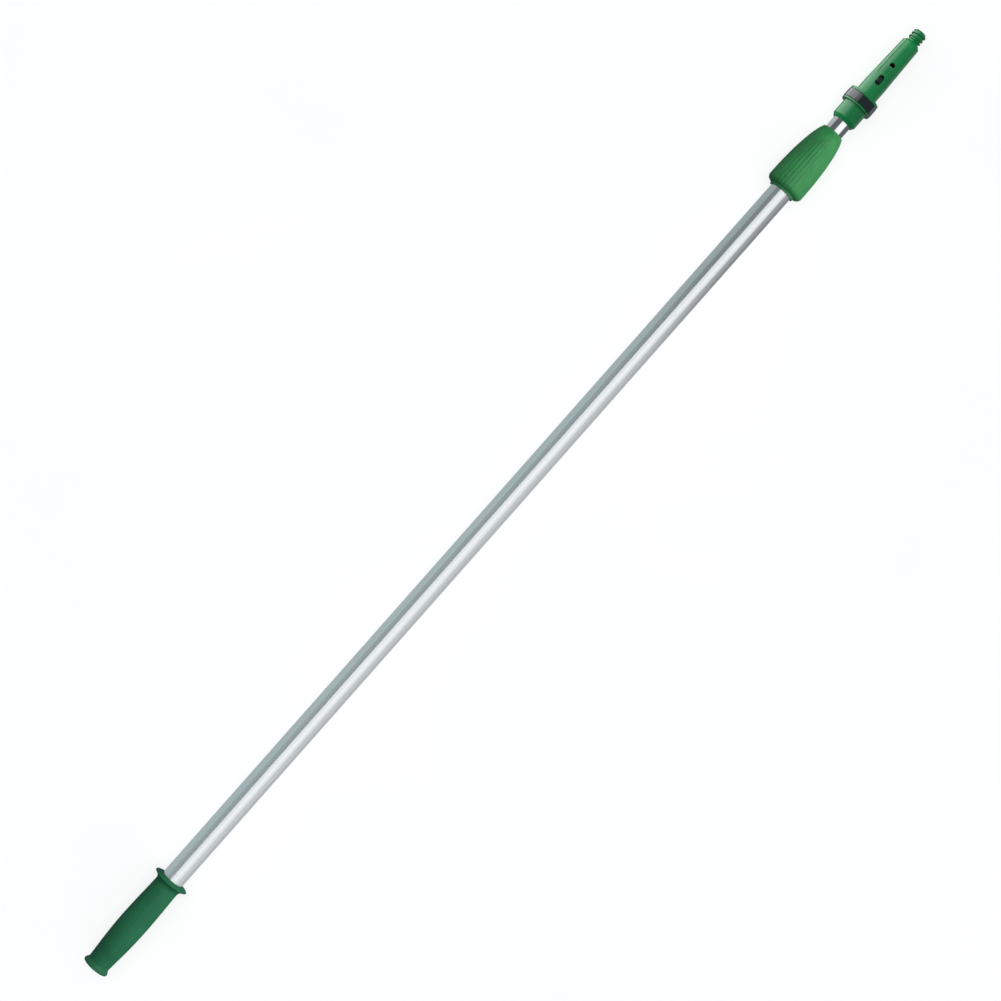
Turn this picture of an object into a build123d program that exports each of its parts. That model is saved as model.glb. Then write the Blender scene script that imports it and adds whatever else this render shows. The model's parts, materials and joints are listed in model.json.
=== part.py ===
"""Two-section telescopic pole for window cleaning, with a twist clamp and a locking cone at its tip.

The pole lies along +X with its butt face at the origin and the axis of both tubes on the X axis.
The latch of the locking cone faces +Z. All sizes are in millimetres.
"""

import os
from math import cos, pi, radians, sin, sqrt

from build123d import *

# Tubes
OUTER_R = 15.0
OUTER_WALL = 1.5
OUTER_LENGTH = 1328.0
INNER_R = 12.5
INNER_WALL = 1.5

# Clearances
RUN_GAP = 0.06        # radial running fit of parts that slide or turn on each other
SEAT_GAP = 0.05       # radial gap of a piece that is fixed in or on another
FACE_GAP = 0.3        # axial gap between faces of different bodies
TOUCH_GAP = 0.1       # axial gap between faces of one body

# Handle grip: a rubber sleeve with a solid butt
BUTT_DEPTH = 15.0
BUTT_WALL = 2.9       # rim of the butt outside the tube's radius
BUTT_FLARE = 8.0      # length of the flared foot
GRIP_LENGTH = 146.6
GRIP_BELLY_WALL = 3.5
GRIP_TOP_WALL = 2.0
GRIP_NECK_WALL = 0.2
FLANGE_WALL = 8.9     # hand stop outside the tube's radius
FLANGE_RIM = 1.3
FLANGE_DOME = 2.6
FLARE_LENGTH = 8.6

# Plug in the butt end of the outer tube
PLUG_FLANGE = 1.3
PLUG_DEPTH = 18.0

# Twist clamp at the top of the outer tube
CLAMP_SEAT = 51.9     # length of the clamp body on the tube
CLAMP_LIP = 4.7       # part of the clamp body above the tube's end
CLAMP_SKIRT_WALL = 2.8
CLAMP_THREAD_WALL = 3.3
CLAMP_SKIRT = 8.0
CLAMP_NECK = 9.0
NUT_RECESS = 3.0      # how far the clamp body shows below the nut
NUT_LENGTH = 95.6
NUT_WALL = 7.4        # thickest wall of the nut, outside its bore
NUT_EDGE = 6.3        # rounding of the nut's lower edge
NUT_TOP_WALL = 2.0
NUT_TOP_EDGE = 2.6
NUT_MOUTH_GAP = 0.5
FLUTES = 30
FLUTE_R = 1.7
FLUTE_DEPTH = 0.75
FLUTE_REACH = 66.0
SLEEVE_LENGTH = 60.0  # bearing sleeve in the mouth of the outer tube
COLLET_LENGTH = 18.0
COLLET_WALL = 1.6
COLLET_HUMP = 3.6
COLLET_HUMP_LOW = 0.35  # share of the collet's length
COLLET_HUMP_TOP = 0.56  # share of the collet's length
COLLET_SLIT = 1.8
WEDGE_LENGTH = 11.5
WEDGE_LIP = 3.3       # wedge ring above the collet's tip
WASHER_THICK = 1.0
CLAMP_TRAVEL = 2.5    # axial travel of the nut from tight to loose
SEAL_THICK = 3.6
SEAL_WALL = 2.0
SEAL_INSET = 5.6      # seal below the nut's top face
RIVET_R = 2.0

# Foot of the inner tube
JOURNAL_R = 8.9
JOURNAL_LENGTH = 13.7
HEAD_LENGTH = 3.0
SPIGOT_LENGTH = 25.0
CLIP_THICK = 1.4
CLIP_DEPTH = 1.0
CLIP_WALL = 3.5
CLIP_SLIT = 5.0
CLIP_INSET = 2.1
BUSH_SKIRT = 40.0
STOP_GAP = 0.5        # gap between the foot and the butt plug when closed

# Locking cone adapter
NECK_GAP = 16.2       # inner tube showing between the nut and the adapter when closed
SOCKET_WALL = 4.4
SOCKET_LENGTH = 27.3
SOCKET_CHAMFER = 4.5
SOCKET_CHAMFER_DROP = 3.0
SCORE_WIDTH = 0.6
SCORE_DEPTH = 0.35
ADAPTER_FLANGE_R = 21.1
LOWER_FLANGE = 2.1
UPPER_FLANGE = 3.5
CORE_R = 15.0
CHAMBER_WALL = 4.1    # cone wall round the latch chamber, at its seat
CONE_BASE_R = 14.6
CONE_TIP_R = 12.4
CONE_SEAT = 18.0      # cylindrical seat above the upper flange
CONE_LENGTH = 86.3
CONE_SHOULDER = 3.2
CONE_GROOVE_R = 1.0
CONE_GROOVE_DEPTH = 0.65
CONE_GROOVE_START = 32.6
CONE_GROOVE_ANGLES = (40, 140, 220, 320)
HOLE_R = 3.5
HOLE_STATION = 48.9   # cross hole, measured from the upper flange's top face
CAVITY_WALL = 3.9     # cone wall round the hollow, at its tip
CAVITY_START = 43.0
CAVITY_FLOOR = 8.3    # solid tip between the hollow and the shoulder
INSERT_SPIGOT = 40.0
INSERT_BOSS = 1.6

# Universal screw tip: 3/4 inch, five threads per inch, right-handed
THREAD_MAJOR_R = 9.4
THREAD_ROOT_R = 7.6
THREAD_PITCH = 5.08
THREAD_CREST = 0.37   # share of the pitch
THREAD_ROOT = 0.35    # share of the pitch
THREAD_NECK = 1.9
THREAD_LENGTH = 14.8
THREAD_CHAMFER = 2.8
THREAD_PHASE = -51.0  # angle of the crest at the shoulder, from +Y towards +Z

# Lock ring
RING_WIDTH = 12.1
RING_R = 21.7
RING_FLATS = 24
RING_EDGE = 0.4
RING_TURN = 60.0

# Latch
SLOT_LENGTH = 14.2
SLOT_WIDTH = 7.4
SLOT_STATION = 17.4   # lower end of the slot, from the upper flange's top face
LATCH_GAP = 0.4
NOSE_GAP = 3.6        # free slot below the nose at rest
NOSE_CORNER = 1.5
NOSE_TOP = 14.1
NOSE_LOW = 11.6       # height of the nose at the end of its ramp
LATCH_TOP = 9.7
LATCH_THICK = 7.5
LATCH_ROOM = 2.0      # free space below the sunk latch
LATCH_SINK = 2.2      # travel down and back, at 45 degrees
PIN_R = 1.0
PIN_GAP = 0.15
PIN_Z = 4.6
PIN_BITE = 1.0        # reach of the guide pins past the chamber's radius
PIN_STATIONS = (-2.0, 12.0)
PEG_R = 1.3
PEG_GAP = 0.3
PEG_TOP = 18.6
PEG_SEAT = 4.7
PEG_DROP = 3.0        # peg below the upper flange
CAM_FLOOR = 0.4
CAM_STEPS = 24
SPRING_R = 2.7
SPRING_WIRE = 0.35
SPRING_TURNS = 4.5
SPRING_FLOOR = -11.5
SPRING_STATION = 5.0

# Screws
CORE_SCREW_ANGLE = 50.6     # direction of each core screw from -Z, to both sides
CORE_SCREW_SIDE = 3.6       # room between the screws and the middle plane, for latch and spring
CORE_SCREW_WALL = 0.7       # wall of the insert outside the screw heads
CORE_SCREW_HEAD_RATIO = 1.5
CORE_SCREW_BITE = 7.0
SOCKET_SCREW_R = 1.6
SOCKET_SCREW_HEAD_R = 3.1
SOCKET_SCREW_HEAD = 2.0
SOCKET_SCREW_TIP = 5.0
SOCKET_SCREW_ANGLES = (120, 240)
SOCKET_SCREW_SHARE = 0.5

# Stations along the pole, from the butt
outer_start = BUTT_DEPTH + TOUCH_GAP + PLUG_FLANGE + TOUCH_GAP
tube_top = outer_start + OUTER_LENGTH
bore_r = OUTER_R - OUTER_WALL
clamp_start = tube_top - CLAMP_SEAT
clamp_end = tube_top + CLAMP_LIP
nut_start = clamp_start + NUT_RECESS
nut_end = nut_start + NUT_LENGTH
nut_bore_r = OUTER_R + CLAMP_THREAD_WALL + RUN_GAP
collet_start = clamp_end + TOUCH_GAP
collet_end = collet_start + COLLET_LENGTH
wedge_end = collet_end + WEDGE_LIP
nut_shoulder = wedge_end + WASHER_THICK + 2 * TOUCH_GAP
nut_mouth_r = INNER_R + NUT_MOUTH_GAP
plug_top = outer_start + PLUG_DEPTH
foot_start = plug_top + STOP_GAP
head_start = foot_start + JOURNAL_LENGTH
inner_start = head_start + HEAD_LENGTH + TOUCH_GAP
socket_start = nut_end + NECK_GAP
socket_end = socket_start + SOCKET_LENGTH
socket_r = INNER_R + SOCKET_WALL
inner_end = socket_end - TOUCH_GAP
inner_bore_r = INNER_R - INNER_WALL
core_start = socket_end + TOUCH_GAP
ring_start = socket_end + FACE_GAP
flange_start = ring_start + RING_WIDTH + FACE_GAP
cone_start = flange_start + UPPER_FLANGE
cone_end = cone_start + CONE_LENGTH
shoulder = cone_end + CONE_SHOULDER
thread_start = shoulder + THREAD_NECK
thread_end = thread_start + THREAD_LENGTH
slot_start = cone_start + SLOT_STATION
slot_end = slot_start + SLOT_LENGTH
chamber_end = slot_end + 1.5
nose_start = slot_start + NOSE_GAP
nose_end = slot_end - LATCH_GAP
latch_start = core_start + INSERT_BOSS + LATCH_SINK + LATCH_ROOM
peg_x = flange_start - PEG_DROP
latch_bottom = LATCH_TOP - LATCH_THICK
chamber_r = CONE_BASE_R - CHAMBER_WALL
cavity_r = CONE_TIP_R - CAVITY_WALL
cavity_end = cone_end - CAVITY_FLOOR
pin_half = chamber_r + PIN_BITE

# Core screws, as large as fits between the middle plane's free room and the tube's bore
screw_lean = sin(radians(CORE_SCREW_ANGLE))
screw_reach = inner_bore_r - SEAT_GAP - CORE_SCREW_WALL
core_screw_r = (screw_lean * screw_reach - CORE_SCREW_SIDE) / (1 + screw_lean * CORE_SCREW_HEAD_RATIO)
core_screw_head_r = CORE_SCREW_HEAD_RATIO * core_screw_r
core_screw_head = core_screw_head_r
core_screw_y = CORE_SCREW_SIDE + core_screw_r
core_screw_z = -(screw_reach - core_screw_head_r) * cos(radians(CORE_SCREW_ANGLE))


def turned(points):
    """Solid of revolution about the X axis from corners given as (x, radius)."""
    return revolve(make_face(Polyline(*points, close=True)), axis=Axis.X)


def tube(start, end, inner, outer):
    """Plain tube between two stations."""
    return turned([(start, inner), (end, inner), (end, outer), (start, outer)])


def rod(start, end, radius, y=0.0, z=0.0):
    """Plain round bar along X between two stations."""
    place = Plane(origin=(start, y, z), z_dir=(1, 0, 0))
    return place * Cylinder(radius, end - start, align=(Align.CENTER, Align.CENTER, Align.MIN))


def spoke(x, angle, inner, outer, radius, tip_radius=None):
    """Round bar or cone that points away from the X axis, at an angle from +Z about +X."""
    way = Vector(0, -sin(radians(angle)), cos(radians(angle)))
    place = Plane(origin=Vector(x, 0, 0) + way * inner, z_dir=way)
    align = (Align.CENTER, Align.CENTER, Align.MIN)
    if tip_radius is None:
        return place * Cylinder(radius, outer - inner, align=align)
    return place * Cone(radius, tip_radius, outer - inner, align=align)


def cross_pin(x, z, half, radius):
    """Round bar along Y, centred on the pole's middle plane."""
    return Plane(origin=(x, 0, z), z_dir=(0, 1, 0)) * Cylinder(radius, 2 * half)


def slot_block(start, end, width, low, high):
    """Upright block with fully rounded ends along X, between two heights."""
    shape = Pos((start + end) / 2, 0, low) * SlotOverall(end - start, width)
    return extrude(shape, high - low)


# Outer pole


def make_outer_tube():
    body = tube(outer_start, tube_top, bore_r, OUTER_R)
    return body - rivet_holes(bore_r - 1, OUTER_R + 1)


def make_handle_grip():
    """Rubber sleeve with a flared foot, a swelling belly and a thin hand stop."""
    foot_r = OUTER_R + BUTT_WALL
    neck = (BUTT_FLARE, OUTER_R + GRIP_NECK_WALL)
    flare = (GRIP_LENGTH - FLANGE_DOME - FLANGE_RIM - FLARE_LENGTH, OUTER_R + GRIP_TOP_WALL)
    rim = (GRIP_LENGTH - FLANGE_DOME - FLANGE_RIM, OUTER_R + FLANGE_WALL)
    rim_top = (GRIP_LENGTH - FLANGE_DOME, OUTER_R + FLANGE_WALL)
    body = flare[0] - neck[0]
    hollow_r = OUTER_R + SEAT_GAP
    belly = [
        neck,
        (neck[0] + 0.1 * body, neck[1] + 0.3 * (GRIP_BELLY_WALL - GRIP_NECK_WALL)),
        (neck[0] + 0.3 * body, OUTER_R + 0.83 * GRIP_BELLY_WALL),
        (neck[0] + 0.52 * body, OUTER_R + GRIP_BELLY_WALL),
        flare,
    ]
    outline = [
        Line((0, 0), (0, foot_r - 1)),
        ThreePointArc((0, foot_r - 1), (0.3, foot_r - 0.3), (1, foot_r)),
        Line((1, foot_r), (2.2, foot_r)),
        ThreePointArc((2.2, foot_r), (0.45 * BUTT_FLARE, OUTER_R + 0.4 * BUTT_WALL), neck),
        Spline(*belly, tangents=((1, 0.06), (1, -0.02))),
        ThreePointArc(flare, (flare[0] + 0.55 * FLARE_LENGTH, OUTER_R + 0.42 * FLANGE_WALL), rim),
        ThreePointArc(rim, (rim[0] + FLANGE_RIM / 2, rim[1] + FLANGE_RIM / 3), rim_top),
        Line(rim_top, (GRIP_LENGTH, hollow_r)),
        Line((GRIP_LENGTH, hollow_r), (BUTT_DEPTH, hollow_r)),
        Line((BUTT_DEPTH, hollow_r), (BUTT_DEPTH, 0)),
        Line((BUTT_DEPTH, 0), (0, 0)),
    ]
    return revolve(make_face(outline), axis=Axis.X)


def make_butt_plug():
    """Stopper that closes the butt end of the outer tube and stops the inner pole."""
    flange = rod(BUTT_DEPTH + TOUCH_GAP, outer_start - TOUCH_GAP, OUTER_R - SEAT_GAP)
    return flange + rod(outer_start - TOUCH_GAP, plug_top, bore_r - SEAT_GAP)


def rivet_holes(inner, outer, radius=RIVET_R + SEAT_GAP):
    """Two radial bars on the left and right of the clamp body's seat."""
    x = (clamp_start + CLAMP_SKIRT + tube_top) / 2
    return [spoke(x, angle, inner, outer, radius) for angle in (90, 270)]


def make_clamp_body():
    """Sleeve bonded and riveted to the outer tube; the nut screws on it."""
    seat_r = OUTER_R + SEAT_GAP
    lip = tube_top + TOUCH_GAP
    lip_r = INNER_R + FACE_GAP
    skirt_r = OUTER_R + CLAMP_SKIRT_WALL
    thread_r = OUTER_R + CLAMP_THREAD_WALL
    neck_r = skirt_r - FACE_GAP
    body = turned([
        (clamp_start, seat_r),
        (lip, seat_r),
        (lip, lip_r),
        (clamp_end, lip_r),
        (clamp_end, neck_r),
        (clamp_end - CLAMP_NECK, neck_r),
        (clamp_end - CLAMP_NECK, thread_r),
        (clamp_start + CLAMP_SKIRT, thread_r),
        (clamp_start + CLAMP_SKIRT, skirt_r),
        (clamp_start, skirt_r),
    ])
    return body - rivet_holes(OUTER_R - 1, thread_r + 1)


def make_clamp_rivets():
    """Two flush rivets that hold the clamp body on the tube."""
    return rivet_holes(bore_r + SEAT_GAP, OUTER_R + CLAMP_THREAD_WALL - 0.1, RIVET_R)


def make_stop_sleeve():
    """Bearing sleeve in the mouth of the outer tube; the guide bush stops against it."""
    return tube(tube_top - SLEEVE_LENGTH, tube_top, INNER_R + RUN_GAP, bore_r - SEAT_GAP / 2)


def make_clamp_collet():
    """Split ring that the wedge ring squeezes on to the inner tube."""
    inner = INNER_R + RUN_GAP
    body = turned([
        (collet_start, inner),
        (collet_end, inner),
        (collet_end, inner + COLLET_WALL),
        (collet_start + COLLET_HUMP_TOP * COLLET_LENGTH, inner + COLLET_HUMP),
        (collet_start + COLLET_HUMP_LOW * COLLET_LENGTH, inner + COLLET_HUMP),
        (collet_start, inner + COLLET_WALL),
    ])
    slit = Pos((collet_start + collet_end) / 2, 0, -OUTER_R) * Box(2 * COLLET_LENGTH, COLLET_SLIT, 2 * OUTER_R)
    return body - slit


# Twist clamp


def make_wedge_ring():
    """Ring with a conical bore that rides up on the collet as the nut is tightened."""
    hump = collet_start + COLLET_HUMP_TOP * COLLET_LENGTH
    bottom = wedge_end - WEDGE_LENGTH
    inner = INNER_R + RUN_GAP
    hump_r = inner + COLLET_HUMP + FACE_GAP
    tip_r = inner + COLLET_WALL + FACE_GAP
    outer = nut_bore_r - TOUCH_GAP
    return turned([
        (bottom, hump_r),
        (hump, hump_r),
        (collet_end, tip_r),
        (wedge_end, tip_r),
        (wedge_end, outer),
        (bottom, outer),
    ])


def make_thrust_washer():
    """Washer between the turning nut and the wedge ring, which doesn't turn."""
    end = nut_shoulder - TOUCH_GAP
    inner = INNER_R + COLLET_WALL + FACE_GAP
    return tube(end - WASHER_THICK, end, inner, nut_bore_r - TOUCH_GAP)


def nut_flutes():
    """Finger grooves that run up the nut and fade out where it starts to close in."""
    low = Vector(nut_start - 2, 0, nut_bore_r + NUT_WALL + FLUTE_R - FLUTE_DEPTH)
    high = Vector(nut_start + FLUTE_REACH, 0, nut_bore_r + 0.66 * NUT_WALL + FLUTE_R - FLUTE_DEPTH / 2)
    length = (high - low).length
    place = Plane(origin=low, z_dir=high - low)
    groove = place * Cylinder(FLUTE_R, length, align=(Align.CENTER, Align.CENTER, Align.MIN))
    return [Rotation(360 * k / FLUTES, 0, 0) * groove for k in range(FLUTES)]


def make_clamp_nut():
    """Ogive nut with a threaded bore, finger flutes and a close mouth round the inner tube."""
    full_r = nut_bore_r + NUT_WALL
    lip_r = full_r - NUT_EDGE
    top_r = nut_mouth_r + NUT_TOP_EDGE
    arc_mid = NUT_EDGE * (1 - sqrt(0.5))
    edge_top = (nut_start + NUT_EDGE, full_r)
    crown = (nut_end - NUT_TOP_EDGE, top_r)
    groove = (nut_end - SEAL_INSET - SEAL_THICK - TOUCH_GAP, nut_end - SEAL_INSET + TOUCH_GAP)
    groove_r = INNER_R + RUN_GAP + SEAL_WALL + SEAT_GAP
    corners = [
        (nut_end, nut_mouth_r),
        (groove[1], nut_mouth_r),
        (groove[1], groove_r),
        (groove[0], groove_r),
        (groove[0], nut_mouth_r),
        (nut_shoulder + NUT_TOP_WALL, nut_mouth_r),
        (nut_shoulder, nut_mouth_r + NUT_TOP_WALL),
        (nut_shoulder, nut_bore_r),
        (nut_start, nut_bore_r),
        (nut_start, lip_r),
    ]
    ogive = [
        edge_top,
        (nut_start + 0.38 * NUT_LENGTH, nut_bore_r + 0.885 * NUT_WALL),
        (nut_start + 0.64 * NUT_LENGTH, nut_bore_r + 0.63 * NUT_WALL),
        (nut_start + 0.84 * NUT_LENGTH, nut_bore_r + 0.16 * NUT_WALL),
        crown,
    ]
    outline = [
        Polyline(*corners),
        ThreePointArc((nut_start, lip_r), (nut_start + arc_mid, full_r - arc_mid), edge_top),
        Spline(*ogive, tangents=((1, 0.02), (1, -0.75))),
        ThreePointArc(crown, (nut_end - 0.5, nut_mouth_r + 0.5 * NUT_TOP_EDGE), (nut_end, nut_mouth_r)),
    ]
    return revolve(make_face(outline), axis=Axis.X) - nut_flutes()


def make_wiper_seal():
    """Rubber ring in the nut's mouth that wipes water off the inner tube."""
    end = nut_end - SEAL_INSET
    inner = INNER_R + RUN_GAP
    return tube(end - SEAL_THICK, end, inner, inner + SEAL_WALL)


# Foot of the inner tube


def make_inner_plug():
    """Plug in the foot of the inner tube, with the journal that the guide bush turns on."""
    groove = foot_start + CLIP_INSET - TOUCH_GAP
    groove_end = groove + CLIP_THICK + 2 * TOUCH_GAP
    groove_r = JOURNAL_R - CLIP_DEPTH
    head_r = INNER_R - 2 * TOUCH_GAP
    spigot_r = inner_bore_r - SEAT_GAP
    head_end = head_start + HEAD_LENGTH
    return turned([
        (foot_start, 0),
        (foot_start, JOURNAL_R),
        (groove, JOURNAL_R),
        (groove, groove_r),
        (groove_end, groove_r),
        (groove_end, JOURNAL_R),
        (head_start, JOURNAL_R),
        (head_start, head_r),
        (head_end, head_r),
        (head_end, spigot_r),
        (head_end + SPIGOT_LENGTH, spigot_r),
        (head_end + SPIGOT_LENGTH, 0),
    ])


def make_plug_clip():
    """Open spring clip that keeps the guide bush on its journal."""
    start = foot_start + CLIP_INSET
    inner = JOURNAL_R - CLIP_DEPTH + SEAT_GAP
    body = tube(start, start + CLIP_THICK, inner, inner + CLIP_WALL)
    return body - Pos(start, 0, -inner - CLIP_WALL / 2) * Box(4 * CLIP_THICK, CLIP_SLIT, 2 * CLIP_WALL)


def make_guide_bush():
    """Bush that slides in the outer tube and carries the foot of the inner pole."""
    start = foot_start + CLIP_INSET + CLIP_THICK + 2 * TOUCH_GAP
    collar = head_start - 2 * TOUCH_GAP
    outer = bore_r - RUN_GAP
    journal = JOURNAL_R + RUN_GAP
    skirt = INNER_R + RUN_GAP
    end = collar + BUSH_SKIRT
    return turned([(start, journal), (collar, journal), (collar, skirt), (end, skirt), (end, outer), (start, outer)])


# Inner pole and locking cone


def socket_screw_holes(inner, outer, radius):
    x = socket_start + SOCKET_SCREW_SHARE * SOCKET_LENGTH
    return [spoke(x, angle, inner, outer, radius) for angle in SOCKET_SCREW_ANGLES]


def socket_screw_heads(gap):
    """Countersunk cones under the surface of the socket."""
    x = socket_start + SOCKET_SCREW_SHARE * SOCKET_LENGTH
    top = socket_r + (1.0 if gap else -0.1)
    low = socket_r - SOCKET_SCREW_HEAD - 0.1
    small = SOCKET_SCREW_R + gap
    large = small + (SOCKET_SCREW_HEAD_R - SOCKET_SCREW_R) * (top - low) / SOCKET_SCREW_HEAD
    return [spoke(x, angle, low, top, small, large) for angle in SOCKET_SCREW_ANGLES]


def core_screw_holes(start, end, radius):
    return [rod(start, end, radius, y, core_screw_z) for y in (-core_screw_y, core_screw_y)]


def make_inner_tube():
    body = tube(inner_start, inner_end, inner_bore_r, INNER_R)
    return body - socket_screw_holes(inner_bore_r - 1, INNER_R + 1, SOCKET_SCREW_R + SEAT_GAP)


def make_adapter_socket():
    """Green sleeve over the end of the inner tube, with the flange below the lock ring."""
    seat_r = INNER_R + SEAT_GAP
    flange = socket_end - LOWER_FLANGE
    chamfer = socket_start + SOCKET_CHAMFER
    score = chamfer + SCORE_WIDTH
    body = turned([
        (socket_start, seat_r),
        (socket_end, seat_r),
        (socket_end, ADAPTER_FLANGE_R),
        (flange, ADAPTER_FLANGE_R),
        (flange, socket_r),
        (score, socket_r),
        (score, socket_r - SCORE_DEPTH),
        (chamfer, socket_r - SCORE_DEPTH),
        (socket_start, socket_r - SOCKET_CHAMFER_DROP),
    ])
    body -= socket_screw_holes(INNER_R - 1, socket_r + 1, SOCKET_SCREW_R + SEAT_GAP)
    return body - socket_screw_heads(SEAT_GAP)


def make_socket_screws():
    """Two countersunk screws through the socket and the tube into the insert."""
    shanks = socket_screw_holes(SOCKET_SCREW_TIP, socket_r - SOCKET_SCREW_HEAD, SOCKET_SCREW_R)
    return [shank + head for shank, head in zip(shanks, socket_screw_heads(0))]


def make_tube_insert():
    """Solid core in the end of the inner tube; it closes the latch chamber and takes the screws."""
    start = inner_end - INSERT_SPIGOT
    body = rod(start, core_start, inner_bore_r - SEAT_GAP)
    body += rod(core_start, core_start + INSERT_BOSS, chamber_r - SEAT_GAP)
    head = core_start - 2 * core_screw_head
    body -= core_screw_holes(start - 1, core_start + INSERT_BOSS + 1, core_screw_r + SEAT_GAP)
    body -= core_screw_holes(start - 1, head + core_screw_head, core_screw_head_r + SEAT_GAP)
    return body - socket_screw_holes(SOCKET_SCREW_TIP - 0.1, inner_bore_r + 1, SOCKET_SCREW_R + SEAT_GAP)


def make_core_screws():
    """Two long screws that draw the cone down on to the insert."""
    head = core_start - 2 * core_screw_head
    shanks = core_screw_holes(head, chamber_end + CORE_SCREW_BITE, core_screw_r)
    heads = core_screw_holes(head, head + core_screw_head - TOUCH_GAP, core_screw_head_r)
    return [shank + top for shank, top in zip(shanks, heads)]


def make_thread():
    """Trapezoidal screw thread made by twisting its cross-section along the tip."""
    half_crest = 180 * THREAD_CREST
    half_root = 180 * (1 - THREAD_ROOT)
    low = (THREAD_ROOT_R * cos(radians(half_root)), THREAD_ROOT_R * sin(radians(half_root)))
    high = (THREAD_MAJOR_R * cos(radians(half_crest)), THREAD_MAJOR_R * sin(radians(half_crest)))
    section = make_face([
        Line((low[0], -low[1]), (high[0], -high[1])),
        CenterArc((0, 0), THREAD_MAJOR_R, -half_crest, 2 * half_crest),
        Line(high, low),
        CenterArc((0, 0), THREAD_ROOT_R, half_root, 360 - 2 * half_root),
    ])
    length = thread_end - cone_end
    turn = 360 * length / THREAD_PITCH
    place = Plane(origin=(cone_end, 0, 0), x_dir=(0, 1, 0), z_dir=(1, 0, 0))
    phase = THREAD_PHASE - 360 * (shoulder - cone_end) / THREAD_PITCH
    twisted = Solid.extrude_linear_with_rotation(section.face(), (0, 0, 0), (0, 0, length), turn)
    neck_r = THREAD_ROOT_R - 0.6
    envelope = turned([
        (cone_end, 0),
        (cone_end, neck_r),
        (thread_start, neck_r),
        (thread_start + THREAD_MAJOR_R - neck_r, THREAD_MAJOR_R + 1),
        (thread_end - THREAD_CHAMFER - 1, THREAD_MAJOR_R + 1),
        (thread_end - 0.6, THREAD_MAJOR_R - THREAD_CHAMFER + 0.6),
        (thread_end, THREAD_MAJOR_R - THREAD_CHAMFER - 0.4),
        (thread_end, 0),
    ])
    return (place * Rotation(0, 0, phase) * twisted) & envelope


def cone_grooves():
    """Four shallow lengthwise grooves that key a tool against turning."""
    start = cone_start + CONE_GROOVE_START
    slope = (CONE_BASE_R - CONE_TIP_R) / (CONE_LENGTH - CONE_SEAT)
    lift = CONE_GROOVE_R - CONE_GROOVE_DEPTH
    first = Vector(start, 0, CONE_BASE_R - slope * (start - cone_start - CONE_SEAT) + lift)
    last = Vector(shoulder, 0, CONE_TIP_R - slope * CONE_SHOULDER + lift)
    place = Plane(origin=first, z_dir=last - first)
    length = (last - first).length
    groove = place * Cylinder(CONE_GROOVE_R, length, align=(Align.CENTER, Align.CENTER, Align.MIN))
    groove += Pos(*first) * Sphere(CONE_GROOVE_R)
    return [Rotation(angle, 0, 0) * groove for angle in CONE_GROOVE_ANGLES]


def make_adapter_cone():
    """Green cone with its core, upper flange, latch slot, cross hole and screw tip in one moulding."""
    shoulder_r = CONE_TIP_R - CONE_SHOULDER
    body = turned([
        (core_start, 0),
        (core_start, CORE_R),
        (flange_start, CORE_R),
        (flange_start, ADAPTER_FLANGE_R),
        (cone_start, ADAPTER_FLANGE_R),
        (cone_start, CONE_BASE_R),
        (cone_start + CONE_SEAT, CONE_BASE_R),
        (cone_end, CONE_TIP_R),
        (shoulder, shoulder_r),
        (shoulder, 0),
    ])
    body += make_thread()
    body -= rod(core_start, chamber_end, chamber_r)
    body -= rod(cone_start + CAVITY_START, cavity_end, cavity_r)
    body -= slot_block(slot_start, slot_end, SLOT_WIDTH, LATCH_TOP - 2, CONE_BASE_R + 1)
    peg_room = PEG_R + PEG_GAP
    body -= slot_block(peg_x - LATCH_SINK - peg_room, peg_x + peg_room, 2 * peg_room, LATCH_TOP - 2, CORE_R + 1)
    body -= spoke(cone_start + HOLE_STATION, 0, -CONE_BASE_R, CONE_BASE_R, HOLE_R)
    body -= core_screw_holes(core_start, chamber_end + CORE_SCREW_BITE + TOUCH_GAP, core_screw_r + SEAT_GAP)
    for x in PIN_STATIONS:
        body -= cross_pin(cone_start + x, PIN_Z, pin_half + TOUCH_GAP, PIN_R + SEAT_GAP)
    spring_seat = SPRING_R + SPRING_WIRE + FACE_GAP
    seat_low = SPRING_FLOOR - TOUCH_GAP
    place = Pos(cone_start + SPRING_STATION, 0, seat_low)
    body -= place * Cylinder(spring_seat, -seat_low, align=(Align.CENTER, Align.CENTER, Align.MIN))
    return body - cone_grooves()


def make_guide_pins():
    """Two cross pins in the cone that the latch's inclined slots run on."""
    return [cross_pin(cone_start + x, PIN_Z, pin_half, PIN_R) for x in PIN_STATIONS]


def make_latch_spring():
    """Coil spring that lifts the latch bar."""
    height = latch_bottom - SPRING_FLOOR - 2 * SPRING_WIRE - TOUCH_GAP
    path = Helix(pitch=height / SPRING_TURNS, height=height, radius=SPRING_R)
    wire = sweep(Plane(origin=path @ 0, z_dir=path % 0) * Circle(SPRING_WIRE), path=path, is_frenet=True)
    return Pos(cone_start + SPRING_STATION, 0, SPRING_FLOOR + SPRING_WIRE) * wire


# Lock ring


def make_lock_ring():
    """Many-sided ring that turns between the flanges; its cam groove draws the latch down."""
    place = Plane(origin=(ring_start, 0, 0), x_dir=(0, 1, 0), z_dir=(1, 0, 0))
    flats = place * RegularPolygon(RING_R, RING_FLATS, rotation=180 / RING_FLATS)
    body = chamfer(extrude(flats, RING_WIDTH).edges().group_by(Axis.X)[0], RING_EDGE)
    body = chamfer(body.edges().group_by(Axis.X)[-1], RING_EDGE)
    body -= rod(ring_start - 1, ring_start + RING_WIDTH + 1, CORE_R + RUN_GAP)
    for k in range(CAM_STEPS + 1):
        share = k / CAM_STEPS
        x = peg_x - LATCH_SINK * share
        body -= spoke(x, -RING_TURN * share, CORE_R - 1, PEG_TOP + CAM_FLOOR, PEG_R + PEG_GAP)
    return body


# Latch


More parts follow.
